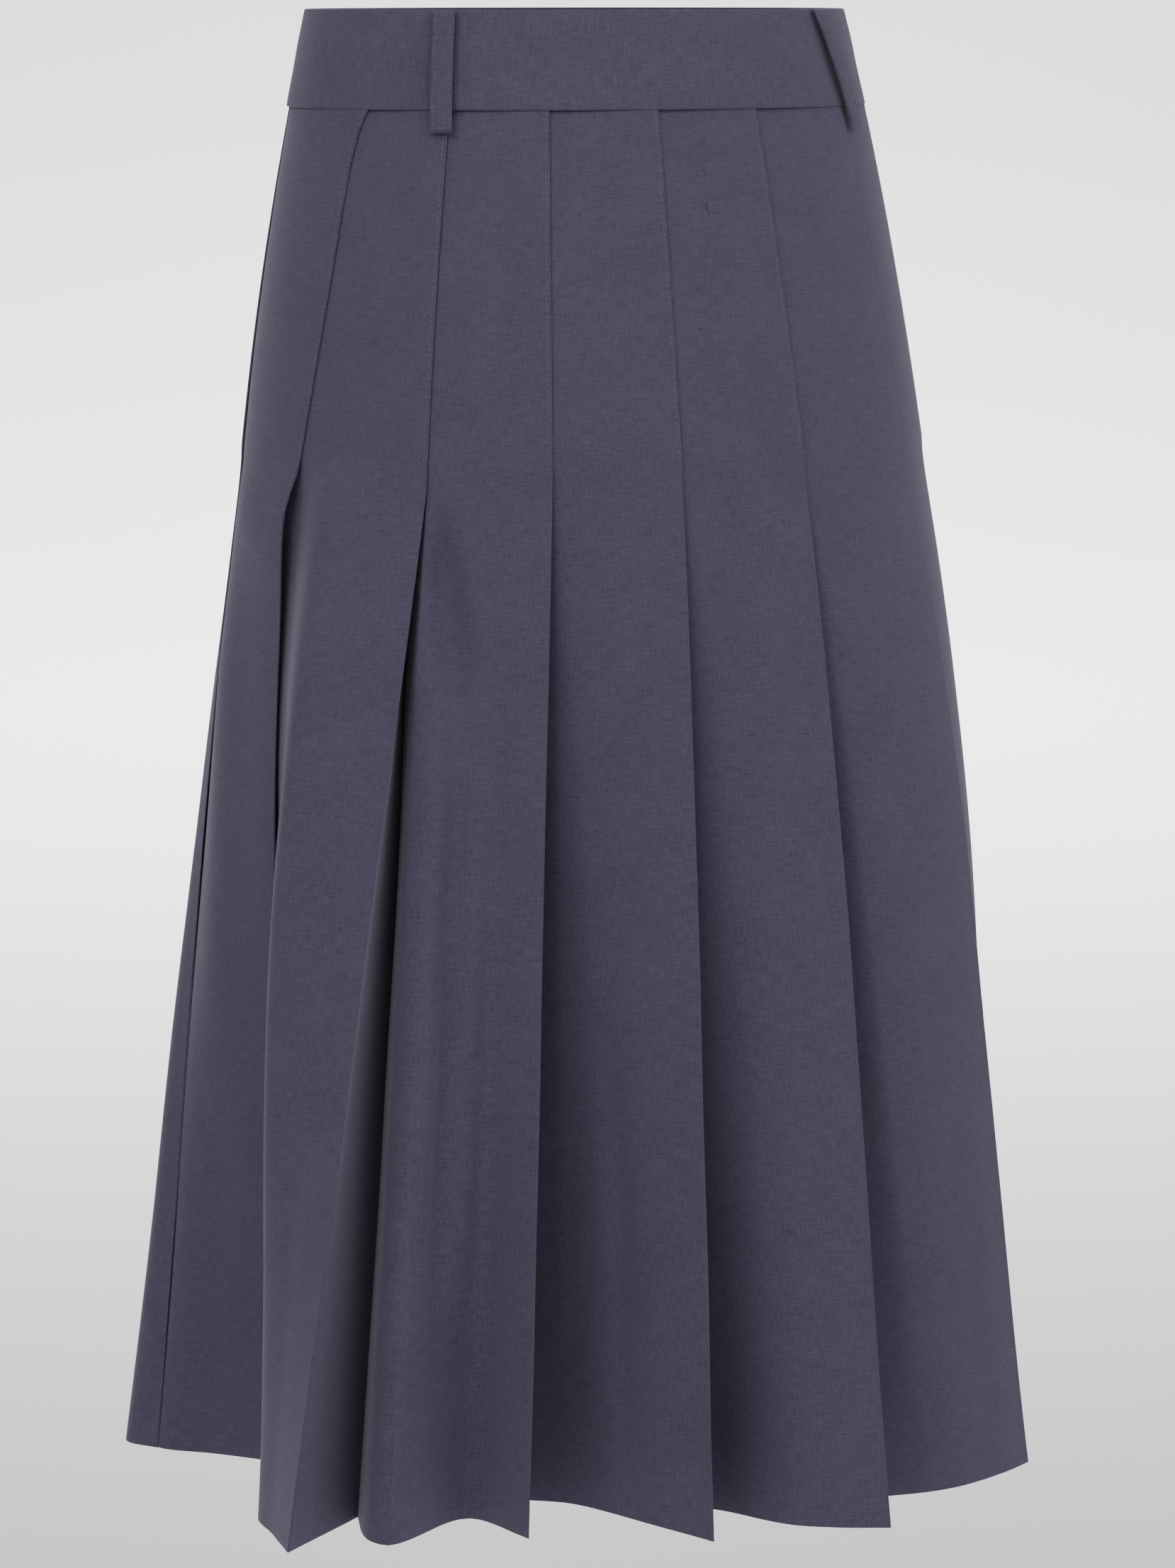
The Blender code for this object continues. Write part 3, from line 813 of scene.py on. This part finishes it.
def waistband(material):
    profile = band_profile()
    sections = []
    for segment in range(BAND_SEGMENTS):
        angle = TURN * segment / BAND_SEGMENTS
        section = []
        for drop, inset in profile:
            place = on_oval(angle, oval_at(drop), inset) + sway_at(drop)
            scaled = place * BAND_UNEVEN_ACROSS
            spot = Vector((scaled.x, scaled.y, -drop * BAND_UNEVEN_DOWN))
            flat = math.sin(math.pi * min(1.0, max(0.0, drop / BAND_DEPTH)))
            swell = outward(angle, oval_at(drop)) * (noise.noise(spot) * BAND_UNEVEN_HEIGHT * flat)
            section.append(Vector((place.x, place.y, -drop)) + swell.to_3d())
        sections.append(section)
    # The way round the waist's oval, roughly, in as many steps
    step = 2 * math.pi * math.hypot(*WAIST_OVAL) / math.sqrt(2) / BAND_SEGMENTS
    return closed_loft("waistband_cloth", sections, step, material, ring=True)


def strap_rise(share):
    """How far a strap stands off its seat."""
    return LOOP_RISE * math.sin(math.pi * share) ** LOOP_SHOULDER if 0 < share < 1 else 0.0


def strap_point(loop, drop, across, thick):
    """A point of a belt loop, at a share of its width and of its thickness, and the way out there."""
    share = min(1.0, max(0.0, drop / LOOP_LENGTH))
    angle = loop.top + (loop.bottom - loop.top) * share
    oval = oval_at(drop)
    out = outward(angle, oval)
    seat = BAND_PROUD + LOOP_SEAT - LOOP_SEAT_FALL * share
    near_end = min(drop, LOOP_LENGTH - drop)
    end = math.sqrt(max(0.0, 1 - (1 - min(1.0, near_end / LOOP_END_ROUND)) ** 2))
    height = seat + strap_rise(share) + LOOP_THICKNESS * (0.5 + (thick - 0.5) * end)
    place = on_oval(angle, oval) + sway_at(drop) + right_of(out) * (LOOP_WIDTH * across) + out * height
    return Vector((place.x, place.y, -drop)), out.to_3d()


def belt_loop(loop, material):
    """A strap whose sections lie closer towards its ends."""
    sections = []
    for step in range(LOOP_STEPS + 1):
        drop = LOOP_LENGTH * (0.5 - 0.5 * math.cos(math.pi * step / LOOP_STEPS))
        drop = 0.5 * drop + 0.5 * LOOP_LENGTH * step / LOOP_STEPS
        drop = min(max(drop, LOOP_END_GAP), LOOP_LENGTH - LOOP_END_GAP)
        sections.append([strap_point(loop, drop, across, thick)[0] for across, thick in STRAP_SECTION])
    return closed_loft("belt_loop_" + loop.place + "_cloth", sections, LOOP_LENGTH / LOOP_STEPS, material)


# Stitches

def stitch_drops(first, last):
    """Where the stitches of a row start, down from one drop to another."""
    drop = first
    while drop + STITCH_LENGTH < last:
        yield drop
        drop += STITCH_PITCH


def add_stitch(start, end, out, points, faces):
    """One thread between two needle holes: a short bead that rises out of the cloth and dips into it."""
    way = (end - start).normalized()
    side = way.cross(out).normalized()
    first = len(points)
    for share, radius, rise in STITCH_FORM:
        centre = start.lerp(end, share) + out * (THREAD_RADIUS * rise)
        for corner in range(STITCH_SIDES):
            turned = math.radians(TURN * corner / STITCH_SIDES)
            rim = out * math.cos(turned) + side * math.sin(turned)
            points.append(centre + rim * (THREAD_RADIUS * radius))
    rings = len(STITCH_FORM)
    for ring in range(rings - 1):
        near = first + ring * STITCH_SIDES
        far = near + STITCH_SIDES
        for corner in range(STITCH_SIDES):
            following = (corner + 1) % STITCH_SIDES
            faces.append((near + corner, near + following, far + following, far + corner))
    faces.append(tuple(first + corner for corner in reversed(range(STITCH_SIDES))))
    faces.append(tuple(first + (rings - 1) * STITCH_SIDES + corner for corner in range(STITCH_SIDES)))


def thread_piece(name, points, faces, material):
    return mesh_piece(name, [tuple(point) for point in points], faces, material)


def on_column(cloth, place, drop):
    """A point on the outside of the cloth, down one column of its grid, and the way out there."""
    after = int(np.searchsorted(cloth.drops, drop))
    after = min(max(after, 1), len(cloth.drops) - 1)
    share = (drop - cloth.drops[after - 1]) / (cloth.drops[after] - cloth.drops[after - 1])
    point = cloth.grid[after - 1, place] * (1 - share) + cloth.grid[after, place] * share
    normal = cloth.normals[after - 1, place] * (1 - share) + cloth.normals[after, place] * share
    return Vector(point) + Vector(normal) * (CLOTH_THICKNESS / 2), Vector(normal).normalized()


def edge_stitching(name, cloth, material):
    """Rows of stitches along the pressed edges, from the waistband to where the pleats are released."""
    points, faces = [], []
    for place, column in enumerate(cloth.columns):
        if not column.stitched:
            continue
        for drop in stitch_drops(BAND_DEPTH + EDGE_STITCH_START, STITCH_END):
            start, out = on_column(cloth, place, drop)
            end, _ = on_column(cloth, place, drop + STITCH_LENGTH)
            add_stitch(start, end, out, points, faces)
    return thread_piece(name, points, faces, material)


def loop_stitching(loop, material):
    """Two rows of stitches down a belt loop, and a tack across it at each end."""
    points, faces = [], []
    for across in STITCH_ROWS:
        for drop in stitch_drops(LOOP_STITCH_START, LOOP_STITCH_STOP):
            start, out = strap_point(loop, drop, across, STITCH_ROW_LEVEL)
            end, _ = strap_point(loop, drop + STITCH_LENGTH, across, STITCH_ROW_LEVEL)
            add_stitch(start, end, out, points, faces)
    for tack in TACK_DROPS:
        for drop in (tack, tack + TACK_ROW_PITCH):
            for step in range(TACK_STITCHES):
                low = TACK_EDGE + TACK_WIDTH * step / TACK_STITCHES
                start, out = strap_point(loop, drop, low + TACK_STITCH_START, 1.0)
                end, _ = strap_point(loop, drop, low + TACK_STITCH_END, 1.0)
                add_stitch(start, end, out, points, faces)
    return thread_piece("belt_loop_" + loop.place + "_stitching", points, faces, material)


# Materials

CLOTH_COLOUR = (0.064, 0.056, 0.092)
THREAD_COLOUR = (0.110, 0.099, 0.146)
FLOOR_COLOUR = (0.92, 0.92, 0.92, 1.0)

# A pattern of threads: its scales along the cloth's width and length, its detail and its roughness
Pattern = namedtuple("Pattern", "scale detail roughness")
WARP = Pattern((1500.0, 170.0, 1.0), 2.0, 0.6)
WEFT = Pattern((110.0, 1500.0, 1.0), 2.0, 0.6)
FLECKS = Pattern((900.0, 900.0, 1.0), 3.0, 0.7)
CLOUDS = Pattern((38.0, 30.0, 1.0), 2.0, 0.5)
TWIST = Pattern((4000.0, 4000.0, 2500.0), 1.0, 0.5)
# How much each pattern counts in the yarn's tone, and the brightness of its darkest and lightest tones
YARN_SHARE = 0.40
FLECK_SHARE = 0.35
CLOUD_SHARE = 0.10
YARN_TONES = ((0.42, 0.66), (0.80, 1.40))
THREAD_TONES = (0.8, 1.2)
# The relief of the weave
WEAVE_RELIEF = {"Scale": 350.0, "Distortion": 0.6}
WEAVE_BUMP = {"Strength": 0.35, "Distance": 0.00025}
CLOTH_SURFACE = {
    "Roughness": 0.92,
    "Specular IOR Level": 0.20,
    "Sheen Weight": 0.22,
    "Sheen Roughness": 0.45,
    "Sheen Tint": (0.80, 0.80, 0.95, 1.0),
}
THREAD_SURFACE = {"Roughness": 0.7}
FLOOR_SURFACE = {"Base Color": FLOOR_COLOUR, "Roughness": 0.9, "Specular IOR Level": 0.1}


def shade(colour, brightness):
    return tuple(min(1.0, channel * brightness) for channel in colour) + (1.0,)


def set_inputs(node, values):
    for name, value in values.items():
        node.inputs[name].default_value = value


def new_material(name, surface_values):
    """A material, its node tree and its surface."""
    material = bpy.data.materials.new(name)
    material.use_nodes = True
    tree = material.node_tree
    surface = tree.nodes["Principled BSDF"]
    set_inputs(surface, surface_values)
    return material, tree, surface


def noise_fac(tree, source, pattern):
    """A noise pattern whose cells are stretched by a different scale along each thread direction."""
    mapping = tree.nodes.new("ShaderNodeMapping")
    set_inputs(mapping, {"Scale": pattern.scale})
    tree.links.new(source, mapping.inputs["Vector"])
    texture = tree.nodes.new("ShaderNodeTexNoise")
    set_inputs(texture, {"Scale": 1.0, "Detail": pattern.detail, "Roughness": pattern.roughness})
    tree.links.new(mapping.outputs["Vector"], texture.inputs["Vector"])
    return texture.outputs["Fac"]


def math_node(tree, operation, first, second):
    node = tree.nodes.new("ShaderNodeMath")
    node.operation = operation
    for socket, value in zip(node.inputs, (first, second)):
        if isinstance(value, float):
            socket.default_value = value
        else:
            tree.links.new(value, socket)
    return node.outputs[0]


def mixed_colour(tree, factor, first, second):
    """A colour between two others, as a pattern says."""
    node = tree.nodes.new("ShaderNodeMix")
    node.data_type = "RGBA"
    inputs = {socket.identifier: socket for socket in node.inputs}
    outputs = {socket.identifier: socket for socket in node.outputs}
    tree.links.new(factor, inputs["Factor_Float"])
    inputs["A_Color"].default_value = first
    inputs["B_Color"].default_value = second
    return outputs["Result_Color"]


def cloth_material(name, turned=False):
    """A fine plain weave of slightly heathered yarn."""
    material, tree, surface = new_material(name, CLOTH_SURFACE)
    uv = tree.nodes.new("ShaderNodeUVMap")
    uv.uv_map = "cloth"
    threads = uv.outputs["UV"]
    if turned:
        turn = tree.nodes.new("ShaderNodeMapping")
        turn.inputs["Rotation"].default_value = (0.0, 0.0, math.radians(90))
        tree.links.new(threads, turn.inputs["Vector"])
        threads = turn.outputs["Vector"]
    yarn = math_node(tree, "ADD", noise_fac(tree, threads, WARP), noise_fac(tree, threads, WEFT))
    tone = math_node(tree, "MULTIPLY", yarn, YARN_SHARE)
    for pattern, share in ((FLECKS, FLECK_SHARE), (CLOUDS, CLOUD_SHARE)):
        added = math_node(tree, "MULTIPLY", noise_fac(tree, threads, pattern), share)
        tone = math_node(tree, "ADD", tone, added)
    ramp = tree.nodes.new("ShaderNodeValToRGB")
    for element, (position, brightness) in zip(ramp.color_ramp.elements, YARN_TONES):
        element.position = position
        element.color = shade(CLOTH_COLOUR, brightness)
    tree.links.new(tone, ramp.inputs["Fac"])
    tree.links.new(ramp.outputs["Color"], surface.inputs["Base Color"])
    waves = []
    for direction in ("X", "Y"):
        wave = tree.nodes.new("ShaderNodeTexWave")
        wave.bands_direction = direction
        set_inputs(wave, WEAVE_RELIEF)
        tree.links.new(threads, wave.inputs["Vector"])
        waves.append(wave.outputs["Fac"])
    relief = math_node(tree, "ADD", math_node(tree, "MULTIPLY", *waves), tone)
    bump = tree.nodes.new("ShaderNodeBump")
    set_inputs(bump, WEAVE_BUMP)
    tree.links.new(relief, bump.inputs["Height"])
    tree.links.new(bump.outputs["Normal"], surface.inputs["Normal"])
    return material


def thread_material():
    """Twisted sewing thread, a little lighter than the cloth."""
    material, tree, surface = new_material("sewing_thread", THREAD_SURFACE)
    place = tree.nodes.new("ShaderNodeTexCoord")
    twist = noise_fac(tree, place.outputs["Object"], TWIST)
    dark, light = (shade(THREAD_COLOUR, brightness) for brightness in THREAD_TONES)
    tree.links.new(mixed_colour(tree, twist, dark, light), surface.inputs["Base Color"])
    return material


# The skirt

def carried(piece, *nodes):
    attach(piece, "root")
    if nodes:
        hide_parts(*nodes)
    return piece


def dress():
    cloth = cloth_material("woven_cloth")
    turned = cloth_material("woven_cloth_turned", turned=True)
    thread = thread_material()
    front = pleated_cloth("pleated_front_cloth", FRONT_PLEATS, 3.0, cloth)
    back = pleated_cloth("pleated_back_cloth", BACK_PLEATS, 11.0, cloth)
    for made, node, flat in ((front, "pleated_front", (1.17, 0.685)), (back, "pleated_back", (1.17, 0.685))):
        piece = carried(made.piece, node)
        stitching = carried(edge_stitching(node + "_stitching", made, thread))
    band = carried(waistband(turned), "waistband")
    for loop in BELT_LOOPS:
        strap = carried(belt_loop(loop, cloth), "belt_loop_" + loop.place)
        stitching = carried(loop_stitching(loop, thread))


# The studio

CAMERA_DISTANCE = 2.6
CAMERA_RISE = 0.015
CAMERA_YAW = math.radians(22.0)
CAMERA_PITCH = math.radians(8.799)
CAMERA_ASIDE = 0.0054
LENS_MM = 119.6
SENSOR_MM = 36.0
FARTHEST_SEEN = 60.0
FLOOR_DROP = 1.06
SKY_STRENGTH = 0.40

# The floor is a wide disc that curves up into a low wall: radius and height of its rings
SWEEP = ((4.0, 0.0), (6.0, 0.0), (6.8, 0.08), (7.6, 0.33), (8.3, 0.8), (8.8, 1.5), (9.0, 2.4), (9.0, 3.4))
SWEEP_STEPS = 48

# Soft square lights: where each stands and what it faces, its size, its power in watts and its spread
Light = namedtuple("Light", "name place aim size power spread")
SKIRT_MIDDLE = (0.0, 0.0, -0.35)
LIGHTS = (
    Light("key_light", (-1.9, -1.5, 1.8), SKIRT_MIDDLE, 1.7, 47.0, 180.0),
    Light("front_light", (0.6, -2.4, 1.8), SKIRT_MIDDLE, 1.8, 29.0, 180.0),
    Light("side_light", (2.1, -1.6, 1.3), SKIRT_MIDDLE, 1.5, 15.0, 180.0),
    Light("floor_light", (1.8, 4.6, 3.0), (2.0, 5.0, -FLOOR_DROP), 4.0, 420.0, 115.0),
)


def face_along(piece, direction):
    piece.rotation_mode = "QUATERNION"
    piece.rotation_quaternion = direction.to_track_quat("-Z", "Y")


def camera():
    data = bpy.data.cameras.new("camera")
    data.sensor_width = SENSOR_MM
    data.lens = LENS_MM
    data.clip_end = FARTHEST_SEEN
    piece = linked("camera", data)
    ahead = Vector((math.sin(CAMERA_YAW), math.cos(CAMERA_YAW), 0.0))
    aside = Vector((math.cos(CAMERA_YAW), -math.sin(CAMERA_YAW), 0.0))
    piece.location = ahead * -CAMERA_DISTANCE + aside * CAMERA_ASIDE + Vector((0.0, 0.0, CAMERA_RISE))
    face_along(piece, ahead * math.cos(CAMERA_PITCH) - Vector((0.0, 0.0, math.sin(CAMERA_PITCH))))
    bpy.context.scene.camera = piece


def sweep():
    """A pale floor that rises into a wall all round."""
    corners = [(0.0, 0.0, -FLOOR_DROP)]
    for radius, height in SWEEP:
        for step in range(SWEEP_STEPS):
            turned = math.radians(TURN * step / SWEEP_STEPS)
            corners.append((radius * math.cos(turned), radius * math.sin(turned), height - FLOOR_DROP))
    faces = [(0, 1 + step, 1 + (step + 1) % SWEEP_STEPS) for step in range(SWEEP_STEPS)]
    for ring in range(len(SWEEP) - 1):
        near, far = 1 + ring * SWEEP_STEPS, 1 + (ring + 1) * SWEEP_STEPS
        for step in range(SWEEP_STEPS):
            following = (step + 1) % SWEEP_STEPS
            faces.append((near + step, far + step, far + following, near + following))
    material, _, _ = new_material("pale_floor", FLOOR_SURFACE)
    return mesh_piece("floor", corners, faces, material)


def soft_light(light):
    data = bpy.data.lights.new(light.name, "AREA")
    data.shape = "SQUARE"
    data.size = light.size
    data.energy = light.power
    data.spread = math.radians(light.spread)
    piece = linked(light.name, data)
    piece.location = light.place
    face_along(piece, Vector(light.aim) - Vector(light.place))


def studio():
    floor = sweep()
    world = bpy.data.worlds.new("studio")
    world.use_nodes = True
    sky = {"Color": (1.0, 1.0, 1.0, 1.0), "Strength": SKY_STRENGTH}
    set_inputs(world.node_tree.nodes["Background"], sky)
    bpy.context.scene.world = world
    for light in LIGHTS:
        soft_light(light)


camera()
dress()
studio()
